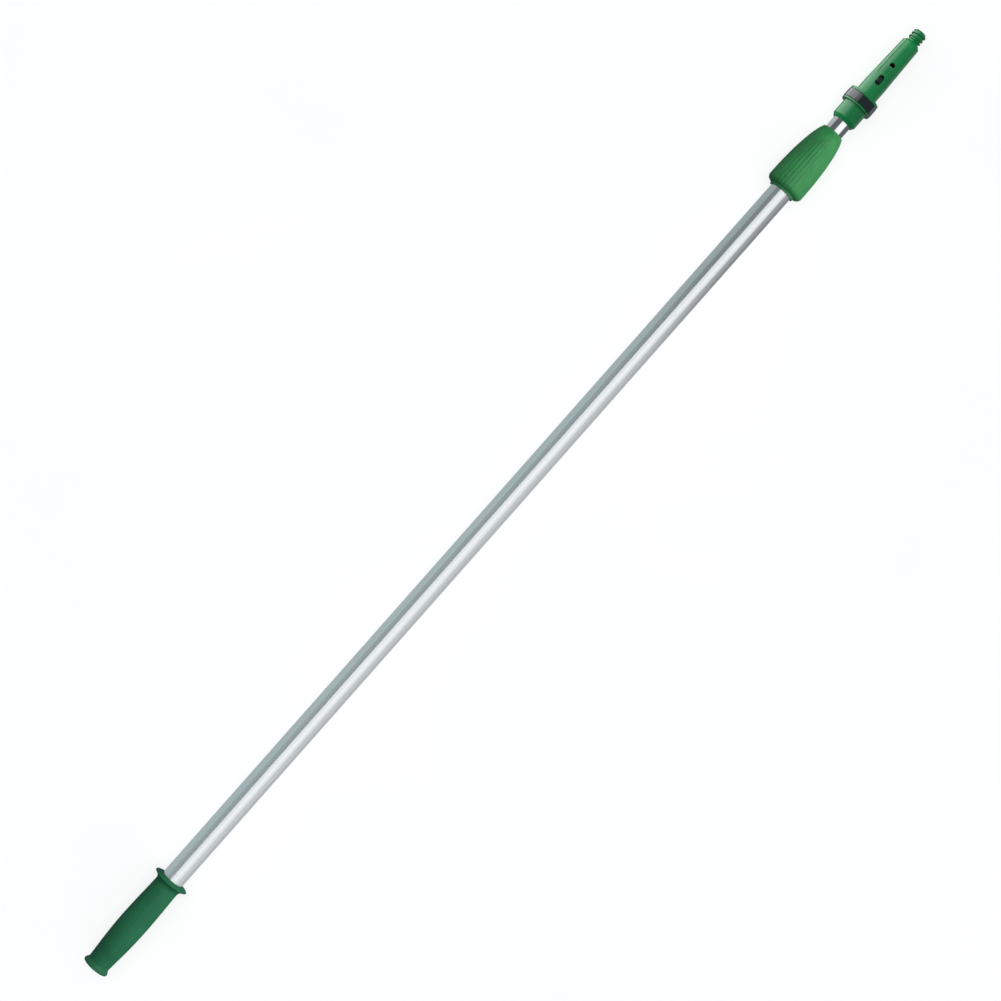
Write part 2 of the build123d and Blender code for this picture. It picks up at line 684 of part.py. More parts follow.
def make_latch_bar():
    """Latch with a ramped nose in the slot and two inclined slots for the guide pins."""
    half = SLOT_WIDTH / 2 - LATCH_GAP
    bar = Pos((latch_start + nose_end) / 2, 0, (latch_bottom + LATCH_TOP) / 2)
    body = bar * Box(nose_end - latch_start, 2 * half, LATCH_THICK)
    nose = slot_block(nose_start - half, nose_end, 2 * half, LATCH_TOP - 1, NOSE_TOP)
    keep = Pos(nose_start, 0, LATCH_TOP - 2) * Box(
        2 * SLOT_LENGTH, SLOT_WIDTH, 2 * NOSE_TOP, align=(Align.MIN, Align.CENTER, Align.MIN)
    )
    nose &= keep
    corners = nose.edges().filter_by(Axis.Z).group_by(Axis.X)[0]
    nose = fillet(corners, NOSE_CORNER)
    ramp_start = nose_start + 0.35 * (nose_end - nose_start)
    ramp = Plane.XZ * make_face(Polyline(
        (ramp_start, NOSE_TOP), (nose_end + 1, NOSE_LOW), (nose_end + 1, NOSE_TOP + 1), (ramp_start, NOSE_TOP + 1),
        close=True,
    ))
    nose -= extrude(ramp, SLOT_WIDTH, both=True)
    body += nose
    end_cut = slot_block(latch_start - SLOT_LENGTH, nose_end, 2 * half, latch_bottom, NOSE_TOP)
    body &= end_cut
    for x in PIN_STATIONS:
        for share in (0, 1):
            step = LATCH_SINK * share
            body -= cross_pin(cone_start + x + step, PIN_Z + step, SLOT_WIDTH, PIN_R + PIN_GAP)
        middle = Pos(cone_start + x + LATCH_SINK / 2, 0, PIN_Z + LATCH_SINK / 2) * Rotation(0, -45, 0)
        body -= middle * Box(LATCH_SINK * sqrt(2), 2 * SLOT_WIDTH, 2 * (PIN_R + PIN_GAP))
    return body - spoke(peg_x, 0, PEG_SEAT - TOUCH_GAP, LATCH_TOP + 1, PEG_R + SEAT_GAP)


def make_cam_peg():
    """Steel peg in the latch bar that rides in the lock ring's cam groove."""
    return spoke(peg_x, 0, PEG_SEAT, PEG_TOP, PEG_R)


PARTS = {
    "outer_tube": make_outer_tube,
    "handle_grip": make_handle_grip,
    "butt_plug": make_butt_plug,
    "clamp_body": make_clamp_body,
    "clamp_rivets": make_clamp_rivets,
    "stop_sleeve": make_stop_sleeve,
    "clamp_collet": make_clamp_collet,
    "wedge_ring": make_wedge_ring,
    "thrust_washer": make_thrust_washer,
    "clamp_nut": make_clamp_nut,
    "wiper_seal": make_wiper_seal,
    "guide_bush": make_guide_bush,
    "inner_tube": make_inner_tube,
    "inner_plug": make_inner_plug,
    "plug_clip": make_plug_clip,
    "adapter_socket": make_adapter_socket,
    "socket_screws": make_socket_screws,
    "tube_insert": make_tube_insert,
    "core_screws": make_core_screws,
    "adapter_cone": make_adapter_cone,
    "guide_pins": make_guide_pins,
    "latch_spring": make_latch_spring,
    "lock_ring": make_lock_ring,
    "latch_bar": make_latch_bar,
    "cam_peg": make_cam_peg,
}


def solid_of(shape):
    """One solid, or a group of solids for a node of several equal pieces."""
    if isinstance(shape, list):
        return Compound(children=[solid_of(piece) for piece in shape])
    solids = shape.solids()
    return solids[0] if len(solids) == 1 else Compound(children=list(solids))


def report_sizes():
    """Prints the stations and travels that the joints and mounts use."""
    extension = tube_top - SLEEVE_LENGTH - (head_start - 2 * TOUCH_GAP + BUSH_SKIRT)
    print("closed length", round(thread_end, 3))
    print("extension", round(extension, 3))
    print("nut", round(nut_start, 3), round(nut_end, 3), "radius", round(nut_bore_r + NUT_WALL, 3))
    print("clamp travel", CLAMP_TRAVEL, "thread lead", 2 * CLAMP_TRAVEL)
    print("ring", round(ring_start, 3), "flange top", round(cone_start, 3), "peg", round(peg_x, 3))
    print("slot", round(slot_start, 3), round(slot_end, 3), "hole", round(cone_start + HOLE_STATION, 3))
    print("shoulder", round(shoulder, 3), "thread", round(thread_start, 3), round(thread_end, 3))
    print("latch travel", round(LATCH_SINK * sqrt(2), 4), "per radian",
          round(LATCH_SINK * sqrt(2) / radians(RING_TURN), 4))
    print("clamp travel per radian", round(CLAMP_TRAVEL / pi, 5))


os.makedirs("parts", exist_ok=True)
for name, make in PARTS.items():
    export_step(solid_of(make()), f"parts/{name}.step")
report_sizes()
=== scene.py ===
"""Finished surfaces, materials, light and camera for a telescopic window cleaning pole.

The pole lies along +X with its butt face at the origin. Everything is in metres.
"""

import json
from math import cos, pi, radians, sin, sqrt, tan

import bmesh
import bpy
from mathutils import Matrix, Vector
from mathutils.geometry import interpolate_bezier


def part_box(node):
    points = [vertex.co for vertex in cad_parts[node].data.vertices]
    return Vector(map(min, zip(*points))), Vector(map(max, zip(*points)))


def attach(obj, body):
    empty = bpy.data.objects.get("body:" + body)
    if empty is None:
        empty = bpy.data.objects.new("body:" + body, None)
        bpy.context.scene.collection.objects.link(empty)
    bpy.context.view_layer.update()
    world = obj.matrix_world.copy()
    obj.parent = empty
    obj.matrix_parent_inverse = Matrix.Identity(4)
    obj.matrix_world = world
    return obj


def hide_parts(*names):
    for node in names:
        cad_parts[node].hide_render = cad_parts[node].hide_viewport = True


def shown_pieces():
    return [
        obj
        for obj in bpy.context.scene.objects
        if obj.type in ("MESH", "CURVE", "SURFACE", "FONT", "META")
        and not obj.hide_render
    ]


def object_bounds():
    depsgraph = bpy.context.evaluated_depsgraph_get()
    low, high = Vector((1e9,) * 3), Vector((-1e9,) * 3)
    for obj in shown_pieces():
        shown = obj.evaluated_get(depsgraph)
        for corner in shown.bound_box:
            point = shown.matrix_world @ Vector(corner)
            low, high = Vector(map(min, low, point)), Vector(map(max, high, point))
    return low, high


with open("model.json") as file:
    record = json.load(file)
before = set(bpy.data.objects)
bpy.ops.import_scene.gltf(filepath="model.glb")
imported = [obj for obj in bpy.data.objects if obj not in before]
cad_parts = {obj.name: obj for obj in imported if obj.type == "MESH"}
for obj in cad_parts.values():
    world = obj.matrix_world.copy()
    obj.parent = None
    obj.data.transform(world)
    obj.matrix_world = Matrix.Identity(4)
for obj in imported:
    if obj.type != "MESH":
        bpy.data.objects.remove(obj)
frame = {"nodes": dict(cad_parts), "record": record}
cad_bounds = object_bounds()

MM = 0.001
HARD_EDGE = 28.0          # edges sharper than this angle in degrees stay crisp
TURN_STEPS = 160          # faces round a turned piece
FINE_STEPS = 192          # faces round the grip and the cone
NUT_STEPS = 480           # sixteen faces to a flute
RING_FLATS = 24
RING_CORNER = 7.5         # one corner of the lock ring, in degrees from +Y
WELD = 2e-6               # vertices closer than this are one


# Mesh helpers


def arc(x, radius, r, start, end, steps=6):
    """Points (x, radius) of a round corner about a centre, between two angles in degrees."""
    angles = [radians(start + (end - start) * k / steps) for k in range(steps + 1)]
    return [(x + r * cos(a), radius + r * sin(a)) for a in angles]


def bend(start, pull_start, pull_end, end, steps=20):
    """Points of a smooth curve between two points, shaped by two handles."""
    knots = [Vector((x, r, 0)) for x, r in (start, pull_start, pull_end, end)]
    return [(p.x, p.y) for p in interpolate_bezier(*knots, steps)]


def tidy(bm):
    """Welds a mesh and makes its faces point outwards."""
    bmesh.ops.remove_doubles(bm, verts=bm.verts, dist=WELD)
    bmesh.ops.dissolve_degenerate(bm, edges=bm.edges, dist=1e-7)
    bmesh.ops.recalc_face_normals(bm, faces=bm.faces)


def turned(outline, steps=TURN_STEPS, start=0.0, closed=True):
    """Shape turned about the pole's axis from the corners (x, radius) of its section."""
    bm = bmesh.new()
    way = Vector((0, cos(radians(start)), sin(radians(start))))
    verts = [bm.verts.new(Vector((x, 0, 0)) + way * r) for x, r in outline]
    ends = verts[1:] + verts[:1] if closed else verts[1:]
    edges = [bm.edges.new(pair) for pair in zip(verts, ends)]
    bmesh.ops.spin(bm, geom=verts + edges, axis=(1, 0, 0), angle=2 * pi, steps=steps, use_merge=True)
    tidy(bm)
    return bm


def soften(bm, width, segments=2, angle=40.0):
    """Rounds every edge that is sharper than an angle."""
    edges = [e for e in bm.edges if e.is_manifold and e.calc_face_angle() > radians(angle)]
    bmesh.ops.bevel(
        bm, geom=edges, offset=width, segments=segments, profile=0.5,
        affect="EDGES", material=-1, clamp_overlap=True,
    )


def push(bm, geom, vec):
    """Moves the vertices of an extruded side."""
    bmesh.ops.translate(bm, verts=[v for v in geom if isinstance(v, bmesh.types.BMVert)], vec=vec)


def prism(points, half):
    """Block with an outline (x, z), reaching half its width to each side of the middle plane."""
    bm = bmesh.new()
    face = bm.faces.new([bm.verts.new((x, -half, z)) for x, z in points])
    side = bmesh.ops.extrude_face_region(bm, geom=[face])["geom"]
    push(bm, side, (0, 2 * half, 0))
    bmesh.ops.recalc_face_normals(bm, faces=bm.faces)
    return bm


def round_bar(radius, low, high, place, steps=64, top_radius=None):
    """Round bar or cone along the local Z of a place, between two heights."""
    bm = bmesh.new()
    middle = Matrix.Translation((0, 0, (low + high) / 2))
    end_radius = radius if top_radius is None else top_radius
    bmesh.ops.create_cone(
        bm, cap_ends=True, segments=steps, radius1=radius, radius2=end_radius,
        depth=high - low, matrix=place @ middle,
    )
    bmesh.ops.recalc_face_normals(bm, faces=bm.faces)
    return bm


def capsule(radius, first, last, steps=32):
    """Bar with round ends between two points."""
    way = last - first
    half = way.length / 2
    outline = arc(half, 0, radius, 0, 90, 8) + arc(-half, 0, radius, 90, 180, 8)
    bm = turned(outline, steps, closed=False)
    turn = Vector((1, 0, 0)).rotation_difference(way).to_matrix().to_4x4()
    bmesh.ops.transform(bm, matrix=Matrix.Translation((first + last) / 2) @ turn, verts=bm.verts)
    return bm


def loose(name, bm):
    """Plain object from a mesh under construction."""
    mesh = bpy.data.meshes.new(name)
    bm.to_mesh(mesh)
    bm.free()
    obj = bpy.data.objects.new(name, mesh)
    bpy.context.scene.collection.objects.link(obj)
    return obj


def carved(bm, cutters, joined=()):
    """The mesh with cutters taken away from it and other shapes joined to it."""
    base = loose("carving", bm)
    tools = [(loose("joined", t), "UNION") for t in joined]
    tools += [(loose("cutter", t), "DIFFERENCE") for t in cutters]
    for tool, operation in tools:
        step = base.modifiers.new("step", "BOOLEAN")
        step.operation, step.solver, step.object = operation, "EXACT", tool
    shape = bpy.data.meshes.new_from_object(base.evaluated_get(bpy.context.evaluated_depsgraph_get()))
    result = bmesh.new()
    result.from_mesh(shape)
    for obj in [base] + [tool for tool, _ in tools]:
        bpy.data.meshes.remove(obj.data)
    bpy.data.meshes.remove(shape)
    bmesh.ops.remove_doubles(result, verts=result.verts, dist=WELD)
    bmesh.ops.dissolve_degenerate(result, edges=result.edges, dist=1e-7)
    return result


def piece(name, bm, body, slot, finish, *nodes, hard=HARD_EDGE):
    """Finished piece that rides on a body and stands for CAD nodes."""
    for face in bm.faces:
        face.smooth = True
    for edge in bm.edges:
        edge.smooth = edge.calc_face_angle(0) < radians(hard)
    obj = loose(name, bm)
    obj.data.materials.append(finish)
    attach(obj, body)
    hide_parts(*nodes)
    return obj


# Materials


def socket(group, way, name, kind="NodeSocketFloat", value=None):
    """New input or output of a node group."""
    item = group.interface.new_socket(name=name, in_out=way, socket_type=kind)
    if value is not None:
        item.default_value = value
    return item


def node(tree, kind, values=None, **settings):
    """New node with its settings and input values, given by input name or number."""
    made = tree.nodes.new(kind)
    for key, value in settings.items():
        setattr(made, key, value)
    for key, value in (values or {}).items():
        made.inputs[key].default_value = value
    return made


def join(tree, *pairs):
    """Links each output to its input."""
    for source, target in pairs:
        tree.links.new(source, target)


def make_grain_group():
    """Moulded surface: fine grain height, and slow cloudiness from 0 to 1."""
    group = bpy.data.node_groups.new("moulded_grain", "ShaderNodeTree")
    socket(group, "INPUT", "Vector", "NodeSocketVector")
    socket(group, "INPUT", "Grain", value=900.0)
    socket(group, "INPUT", "Cloud", value=30.0)
    socket(group, "OUTPUT", "Height")
    socket(group, "OUTPUT", "Cloudiness")
    ins, outs = node(group, "NodeGroupInput"), node(group, "NodeGroupOutput")
    grain = node(group, "ShaderNodeTexNoise", {"Detail": 3.0, "Roughness": 0.6})
    cloud = node(group, "ShaderNodeTexNoise", {"Detail": 4.0, "Roughness": 0.55, "Distortion": 0.4})
    spread = node(group, "ShaderNodeMapRange", {"From Min": 0.32, "From Max": 0.68})
    join(
        group,
        (ins.outputs["Vector"], grain.inputs["Vector"]), (ins.outputs["Grain"], grain.inputs["Scale"]),
        (ins.outputs["Vector"], cloud.inputs["Vector"]), (ins.outputs["Cloud"], cloud.inputs["Scale"]),
        (cloud.outputs["Fac"], spread.inputs["Value"]),
        (grain.outputs["Fac"], outs.inputs["Height"]), (spread.outputs["Result"], outs.inputs["Cloudiness"]),
    )
    return group


def make_line_group():
    """Fine lines along the pole, from 0 to 1, as drawing and moulding leave them."""
    group = bpy.data.node_groups.new("lengthwise_lines", "ShaderNodeTree")
    socket(group, "INPUT", "Vector", "NodeSocketVector")
    socket(group, "INPUT", "Across", value=900.0)
    socket(group, "INPUT", "Along", value=6.0)
    socket(group, "OUTPUT", "Lines")
    ins, outs = node(group, "NodeGroupInput"), node(group, "NodeGroupOutput")
    scales = node(group, "ShaderNodeCombineXYZ")
    stretch = node(group, "ShaderNodeVectorMath", operation="MULTIPLY")
    noise = node(group, "ShaderNodeTexNoise", {"Scale": 1.0, "Detail": 4.0, "Roughness": 0.65})
    spread = node(group, "ShaderNodeMapRange", {"From Min": 0.3, "From Max": 0.7})
    join(
        group,
        (ins.outputs["Along"], scales.inputs["X"]),
        (ins.outputs["Across"], scales.inputs["Y"]), (ins.outputs["Across"], scales.inputs["Z"]),
        (ins.outputs["Vector"], stretch.inputs[0]), (scales.outputs["Vector"], stretch.inputs[1]),
        (stretch.outputs["Vector"], noise.inputs["Vector"]), (noise.outputs["Fac"], spread.inputs["Value"]),
        (spread.outputs["Result"], outs.inputs["Lines"]),
    )
    return group


def make_scuff_group():
    """Sparse rubbed patches and short scratches, from 0 to 1."""
    group = bpy.data.node_groups.new("handling_scuffs", "ShaderNodeTree")
    socket(group, "INPUT", "Vector", "NodeSocketVector")
    socket(group, "INPUT", "Scale", value=60.0)
    socket(group, "INPUT", "Amount", value=0.3)
    socket(group, "OUTPUT", "Scuffs")
    ins, outs = node(group, "NodeGroupInput"), node(group, "NodeGroupOutput")
    patches = node(group, "ShaderNodeTexNoise", {"Detail": 5.0, "Roughness": 0.7, "Distortion": 0.8})
    rubbed = node(group, "ShaderNodeMapRange", {"From Min": 0.56, "From Max": 0.74})
    stretch = node(group, "ShaderNodeVectorMath", {1: (0.35, 3.0, 3.0)}, operation="MULTIPLY")
    scratches = node(group, "ShaderNodeTexVoronoi", feature="DISTANCE_TO_EDGE")
    thin = node(group, "ShaderNodeMapRange", {"From Min": 0.018, "From Max": 0.0})
    both = node(group, "ShaderNodeMath", operation="MULTIPLY")
    added = node(group, "ShaderNodeMath", operation="MAXIMUM")
    scaled = node(group, "ShaderNodeMath", operation="MULTIPLY")
    join(
        group,
        (ins.outputs["Vector"], patches.inputs["Vector"]), (ins.outputs["Scale"], patches.inputs["Scale"]),
        (patches.outputs["Fac"], rubbed.inputs["Value"]),
        (ins.outputs["Vector"], stretch.inputs[0]), (stretch.outputs["Vector"], scratches.inputs["Vector"]),
        (ins.outputs["Scale"], scratches.inputs["Scale"]),
        (scratches.outputs["Distance"], thin.inputs["Value"]),
        (thin.outputs["Result"], both.inputs[0]), (rubbed.outputs["Result"], both.inputs[1]),
        (both.outputs["Value"], added.inputs[0]), (rubbed.outputs["Result"], added.inputs[1]),
        (added.outputs["Value"], scaled.inputs[0]), (ins.outputs["Amount"], scaled.inputs[1]),
        (scaled.outputs["Value"], outs.inputs["Scuffs"]),
    )
    return group


GRAIN = make_grain_group()
LINES = make_line_group()
SCUFFS = make_scuff_group()


def grouped(tree, group, place, **values):
    """One use of a shared effect, read at the piece's own coordinates."""
    made = node(tree, "ShaderNodeGroup", node_tree=group)
    tree.links.new(place.outputs["Object"], made.inputs["Vector"])
    for key, value in values.items():
        made.inputs[key].default_value = value
    return made


def blend_colour(tree, factor, first, second):
    """Colour between two colours, by a factor from 0 to 1."""
    made = node(tree, "ShaderNodeMix", {6: first, 7: second}, data_type="RGBA")
    tree.links.new(factor, made.inputs[0])
    return made.outputs[2]


def ranged(tree, value, low, high):
    """A value from 0 to 1 spread between two numbers."""
    made = node(tree, "ShaderNodeMapRange", {"To Min": low, "To Max": high})
    tree.links.new(value, made.inputs["Value"])
    return made.outputs["Result"]


def bumped(tree, shader, height, strength, distance):
    """Drives the shader's normal from a height."""
    made = node(tree, "ShaderNodeBump", {"Strength": strength, "Distance": distance})
    join(tree, (height, made.inputs["Height"]), (made.outputs["Normal"], shader.inputs["Normal"]))


def material(name, **values):
    """Material with a Principled shader; the values are uniform over the surface."""
    made = bpy.data.materials.new(name)
    made.use_nodes = True
    shader = made.node_tree.nodes["Principled BSDF"]
    for key, value in values.items():
        shader.inputs[key.replace("_", " ")].default_value = value
    return made, made.node_tree, shader, node(made.node_tree, "ShaderNodeTexCoord")


def colour(r, g, b):
    """Linear colour with full opacity."""
    return (r, g, b, 1.0)


def moulded(name, base, worn, rough, grain, grain_depth, cloud=28.0, streak=0.0, scuff=0.25, **values):
    """Moulded plastic or rubber: cloudy colour, faint flow lines, fine grain and rubbed patches."""
    made, tree, shader, place = material(name, **values)
    surface = grouped(tree, GRAIN, place, Grain=grain, Cloud=cloud)
    lines = grouped(tree, LINES, place, Across=700.0, Along=9.0)
    scuffs = grouped(tree, SCUFFS, place, Scale=75.0, Amount=scuff)
    dark = tuple(0.84 * c for c in base[:3]) + (1.0,)
    light = tuple(min(1.0, 1.14 * c) for c in base[:3]) + (1.0,)
    clouded = blend_colour(tree, surface.outputs["Cloudiness"], dark, light)
    shade = ranged(tree, lines.outputs["Lines"], 1.0 - streak, 1.0 + streak)
    streaked = node(tree, "ShaderNodeVectorMath", operation="SCALE")
    mixed = node(tree, "ShaderNodeMix", {7: worn}, data_type="RGBA")
    join(
        tree,
        (clouded, streaked.inputs[0]), (shade, streaked.inputs["Scale"]),
        (streaked.outputs["Vector"], mixed.inputs[6]), (scuffs.outputs["Scuffs"], mixed.inputs[0]),
        (mixed.outputs[2], shader.inputs["Base Color"]),
    )
    dulled = node(tree, "ShaderNodeMath", operation="ADD")
    join(
        tree,
        (ranged(tree, surface.outputs["Cloudiness"], rough - 0.04, rough + 0.05), dulled.inputs[0]),
        (ranged(tree, scuffs.outputs["Scuffs"], 0.0, 0.35), dulled.inputs[1]),
        (dulled.outputs["Value"], shader.inputs["Roughness"]),
    )
    bumped(tree, shader, surface.outputs["Height"], 0.5, grain_depth)
    return made


def drawn_metal(name, base, dull, rough, lines_across, line_depth, scuff=0.2):
    """Drawn metal: fine lengthwise lines, slow cloudiness and faint rubbed marks."""
    made, tree, shader, place = material(name, Metallic=1.0)
    lines = grouped(tree, LINES, place, Across=lines_across, Along=2.5)
    bands = grouped(tree, LINES, place, Across=140.0, Along=1.2)
    surface = grouped(tree, GRAIN, place, Grain=1500.0, Cloud=14.0)
    scuffs = grouped(tree, SCUFFS, place, Scale=55.0, Amount=scuff)
    lined = blend_colour(tree, bands.outputs["Lines"], dull, base)
    mixed = node(tree, "ShaderNodeMix", {7: dull}, data_type="RGBA")
    spread = node(tree, "ShaderNodeMath", operation="ADD")
    rubbed = node(tree, "ShaderNodeMath", operation="ADD")
    join(
        tree,
        (lined, mixed.inputs[6]), (scuffs.outputs["Scuffs"], mixed.inputs[0]),
        (mixed.outputs[2], shader.inputs["Base Color"]),
        (ranged(tree, lines.outputs["Lines"], rough - 0.05, rough + 0.05), spread.inputs[0]),
        (ranged(tree, surface.outputs["Cloudiness"], -0.02, 0.03), spread.inputs[1]),
        (spread.outputs["Value"], rubbed.inputs[0]),
        (ranged(tree, scuffs.outputs["Scuffs"], 0.0, 0.2), rubbed.inputs[1]),
        (rubbed.outputs["Value"], shader.inputs["Roughness"]),
    )
    bumped(tree, shader, lines.outputs["Lines"], 0.35, line_depth)
    return made


FINISHES = {
    "aluminium": drawn_metal(
        "drawn_aluminium", colour(0.80, 0.83, 0.83), colour(0.72, 0.76, 0.765), 0.21, 1300.0, 2e-5
    ),
    "inner_aluminium": drawn_metal(
        "drawn_aluminium_inner", colour(0.84, 0.85, 0.85), colour(0.75, 0.77, 0.77), 0.15, 1500.0, 1.5e-5
    ),
    "grip_rubber": moulded(
        "grip_rubber", colour(0.020, 0.190, 0.083), colour(0.05, 0.20, 0.11), 0.58, 1100.0, 8e-5,
        cloud=22.0, streak=0.08, scuff=0.25, Specular_IOR_Level=0.3,
    ),
    "clamp_green": moulded(
        "clamp_green_plastic", colour(0.038, 0.29, 0.082), colour(0.09, 0.33, 0.13), 0.48, 1300.0, 4e-5,
        cloud=26.0, streak=0.12, scuff=0.15, Specular_IOR_Level=0.3,
    ),
    "cone_green": moulded(
        "cone_green_plastic", colour(0.001, 0.215, 0.055), colour(0.008, 0.25, 0.075), 0.30, 1500.0, 1.5e-5,
        cloud=35.0, streak=0.04, scuff=0.08, Specular_IOR_Level=0.2, Coat_Weight=1.0, Coat_Roughness=0.25,
    ),
    "black_plastic": moulded(
        "black_plastic", colour(0.002, 0.013, 0.015), colour(0.02, 0.04, 0.045), 0.28, 1500.0, 1.5e-5,
        cloud=60.0, streak=0.0, scuff=0.05, Specular_IOR_Level=0.15,
        Coat_Weight=1.0, Coat_Roughness=0.15, Coat_IOR=1.85,
    ),
    "natural_plastic": moulded(
        "natural_plastic", colour(0.70, 0.70, 0.64), colour(0.55, 0.55, 0.50), 0.42, 1200.0, 3e-5,
        cloud=40.0, streak=0.03, scuff=0.2,
    ),
    "seal_rubber": moulded(
        "seal_rubber", colour(0.015, 0.015, 0.016), colour(0.06, 0.06, 0.06), 0.6, 1300.0, 5e-5,
        cloud=60.0, streak=0.0, scuff=0.2,
    ),
    "steel": drawn_metal(
        "zinc_plated_steel", colour(0.62, 0.63, 0.64), colour(0.50, 0.51, 0.53), 0.30, 2000.0, 1e-5
    ),
}


# Places and sizes that the pieces share


def ends(name):
    """First and last station of a CAD node along the pole."""
    low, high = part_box(name)
    return low[0], high[0]


TUBE_R = 15 * MM
INNER_R = 12.5 * MM
WALL = 1.5 * MM
SEAT_GAP = 0.05 * MM      # between a sleeve and the tube in it
FLANGE_R = 21.1 * MM      # both flanges of the lock ring
MOULD_LINE = 0.22 * MM
FLUTES = 30
FLUTE_HALF = 1.8 * MM
FLUTE_DEPTH = 0.45 * MM
FLUTE_LENGTH = 84 * MM
FLUTE_FADE = 26 * MM      # length over which a flute runs out
SCREW_ANGLES = (120, 240)
GROOVE_ANGLES = (40, 140, 220, 320)
cone_base, thread_tip = ends("adapter_cone")
ring_low, ring_high = ends("lock_ring")
flange_top = ring_high + 3.8 * MM


# Outer pole


def drawn_tube(name, node_name, radius, wall, body, finish):
    """Drawn tube with its cut ends lightly broken."""
    start, end = ends(node_name)
    edge = 0.25 * MM
    bore = radius - wall
    outline = [
        (start, bore + edge), (start, radius - edge), (start + edge, radius), (end - edge, radius),
        (end, radius - edge), (end, bore + edge), (end - edge, bore), (start + edge, bore),
    ]
    return piece(name, turned(outline), body, "aluminium", finish, node_name)


def make_outer_tube():
    return drawn_tube("outer_tube_drawn", "outer_tube", TUBE_R, WALL, "outer_pole", FINISHES["aluminium"])


def make_handle_grip():
    """Rubber sleeve with a flared foot, a swelling belly, a hand stop and mould lines."""
    start, end = ends("handle_grip")
    round_r = 1.0 * MM
    foot, foot_r = start + 8.0 * MM, 15.2 * MM
    belly, belly_r = start + 74 * MM, 18.5 * MM
    flare, flare_r = end - 12.5 * MM, 17.0 * MM
    rim, rim_top, rim_r = end - 3.9 * MM, end - 2.6 * MM, 23.9 * MM
    bore = TUBE_R + SEAT_GAP
    lead_in = 0.4 * MM
    butt_wall = start + 15 * MM
    outline = [(start, 0), (start, 9 * MM)]
    outline += arc(start + round_r, 16.8 * MM, round_r, 180, 95, 5)
    outline += bend((start + 2.2 * MM, 17.9 * MM), (start + 3.4 * MM, 17.6 * MM),
                    (start + 5.6 * MM, 15.3 * MM), (foot, foot_r), 10)
    outline += bend((foot, foot_r), (start + 24 * MM, 16.1 * MM), (start + 44 * MM, belly_r),
                    (belly, belly_r), 24)[1:]
    outline += bend((belly, belly_r), (start + 100 * MM, belly_r), (start + 122 * MM, 17.1 * MM),
                    (flare, flare_r), 20)[1:]
    outline += bend((flare, flare_r), (flare + 5.2 * MM, flare_r), (rim - 2.0 * MM, 20.2 * MM),
                    (rim, rim_r), 12)[1:]
    outline += arc((rim + rim_top) / 2, rim_r - 0.1 * MM, 0.65 * MM, 150, 30, 5)[1:]
    outline += bend((rim_top, rim_r - 0.1 * MM), (end - 1.4 * MM, 20.8 * MM), (end - 0.4 * MM, 18.0 * MM),
                    (end, bore + lead_in), 8)
    outline += [(end - lead_in, bore), (butt_wall, bore), (butt_wall, 0)]
    bm = turned(outline, FINE_STEPS, closed=False)
    raise_mould_lines(bm, foot, flare, 18.6 * MM)
    return piece("handle_grip_rubber", bm, "outer_pole", "grip_rubber",
                 FINISHES["grip_rubber"], "handle_grip")


def raise_mould_lines(bm, low, high, widest):
    """Thin lines where the halves of the mould met, above and below."""
    line = [
        v for v in bm.verts
        if abs(v.co.y) < 0.01 * MM and low < v.co.x < high and TUBE_R + 0.1 * MM < abs(v.co.z) < widest
    ]
    for v in line:
        v.co.z += MOULD_LINE if v.co.z > 0 else -MOULD_LINE


def make_clamp_body():
    """Sleeve on the end of the outer tube that the nut screws on."""
    start, end = ends("clamp_body")
    seat = TUBE_R + SEAT_GAP
    skirt_r, thread_r, neck_r = 17.8 * MM, 18.3 * MM, 17.5 * MM
    thread_low, thread_high = start + 8 * MM, end - 9 * MM
    lip_r = INNER_R + 0.3 * MM
    tube_top = ends("outer_tube")[1] + 0.1 * MM
    outline = [
        (start, seat), (tube_top, seat), (tube_top, lip_r), (end, lip_r), (end, neck_r),
        (thread_high, neck_r), (thread_high, thread_r), (thread_low, thread_r), (thread_low, skirt_r),
        (start, skirt_r),
    ]
    bm = turned(outline)
    soften(bm, 0.3 * MM, 3)
    return piece("clamp_body_sleeve", bm, "outer_pole", "clamp_green", FINISHES["clamp_green"], "clamp_body")


# Twist clamp


def make_clamp_nut():
    """Ogive nut with finger flutes that fade out where it closes in."""
    start, end = ends("clamp_nut")
    bore, full = 18.36 * MM, 25.76 * MM
    edge = 6.3 * MM
    lead_in = 0.4 * MM
    mouth = INNER_R + 0.5 * MM
    step = 2 * MM
    shoulder = start + 76.2 * MM
    seal_low, seal_high, seal_r = end - 9.3 * MM, end - 5.5 * MM, INNER_R + 2.11 * MM
    outline = [(start, bore + lead_in), (start, full - edge - 0.6 * MM)]
    outline += bend((start, full - edge), (start + 0.2 * MM, full - 2.9 * MM),
                    (start + 2.6 * MM, full - 0.2 * MM), (start + edge, full), 14)
    outline += bend((start + edge, full), (start + 68.3 * MM, full), (start + 91 * MM, 17.1 * MM),
                    (end - 2.6 * MM, mouth + 2.6 * MM), 44)[1:]
    outline += arc(end - 2.4 * MM, mouth + 0.9 * MM, 1.9 * MM, 50, 0, 6)[1:]
    outline += arc(end - 0.5 * MM, mouth + 0.5 * MM, 0.5 * MM, 0, -90, 4)[1:]
    outline += [
        (seal_high, mouth), (seal_high, seal_r), (seal_low, seal_r), (seal_low, mouth),
        (shoulder + step, mouth), (shoulder, mouth + step), (shoulder, bore), (start + lead_in, bore),
    ]
    bm = turned(outline, NUT_STEPS)
    press_flutes(bm, start, bore + 0.3 * MM)
    return piece("clamp_nut_fluted", bm, "clamp_nut", "clamp_green",
                 FINISHES["clamp_green"], "clamp_nut", hard=35)


